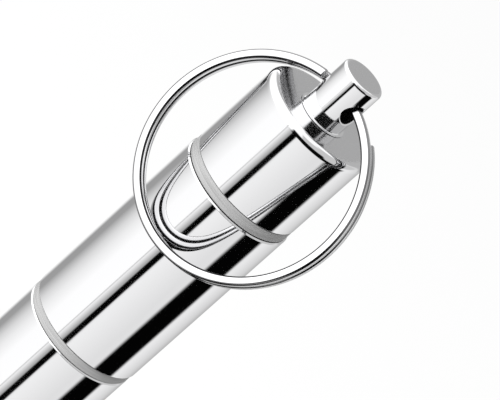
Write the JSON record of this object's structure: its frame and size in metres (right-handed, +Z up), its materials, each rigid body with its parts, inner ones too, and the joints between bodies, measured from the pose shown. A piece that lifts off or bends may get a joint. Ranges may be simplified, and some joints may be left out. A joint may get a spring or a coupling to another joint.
{
  "type": "toothpick holder keychain",
  "caption": "Slim screw-together steel tube for toothpicks, with grey seals in its seams, a cross-drilled post on its cap and a split ring for keys.",
  "frame": {"origin": "centre of the flat base that the holder stands on", "axes": "+Z up the tube towards the ring post, +X along the post's cross hole, and the split ring lies against the -Y side"},
  "size_m": [0.0249, 0.0162, 0.088],
  "materials": {
    "mirror_steel": "mirror polished stainless steel",
    "turned_steel": "fine turned stainless steel",
    "grey_silicone": "matt",
    "ring_steel": "bright plated flat spring wire"
  },
  "bodies": {
    "lower_segment": {"lower_tube": "mirror_steel", "base_plug": "turned_steel", "lower_neck": "turned_steel"},
    "lower_seal": {"lower_seal": "grey_silicone"},
    "middle_segment": {"middle_tube": "mirror_steel", "upper_neck": "turned_steel"},
    "cap_seal": {"cap_seal": "grey_silicone"},
    "cap": {"cap_shell": "mirror_steel", "ring_post": "mirror_steel"},
    "ring": {"split_ring": "ring_steel"}
  },
  "joints": [
    {"name": "barrel_turn", "type": "hinge", "parent": "lower_segment", "child": "lower_seal", "pos_m": [0, 0, 0.04541], "axis": [0, 0, 1], "range_deg": [0, 2160]},
    {"name": "barrel_rise", "type": "slide", "parent": "lower_seal", "child": "middle_segment", "axis": [0, 0, 1], "range_m": [0, 0.006]},
    {"name": "cap_turn", "type": "hinge", "parent": "middle_segment", "child": "cap_seal", "pos_m": [0, 0, 0.06962], "axis": [0, 0, 1], "range_deg": [0, 2160]},
    {"name": "cap_rise", "type": "slide", "parent": "cap_seal", "child": "cap", "axis": [0, 0, 1], "range_m": [0, 0.006]},
    {"name": "ring_swing", "type": "hinge", "parent": "cap", "child": "ring", "pos_m": [0, 0, 0.08476], "axis": [-1, 0, 0], "range_deg": [0, 285]}
  ],
  "couplings": [
    {"joint": "barrel_rise", "follows": "barrel_turn", "m_per_rad": 0.00015915},
    {"joint": "cap_rise", "follows": "cap_turn", "m_per_rad": 0.00015915}
  ]
}
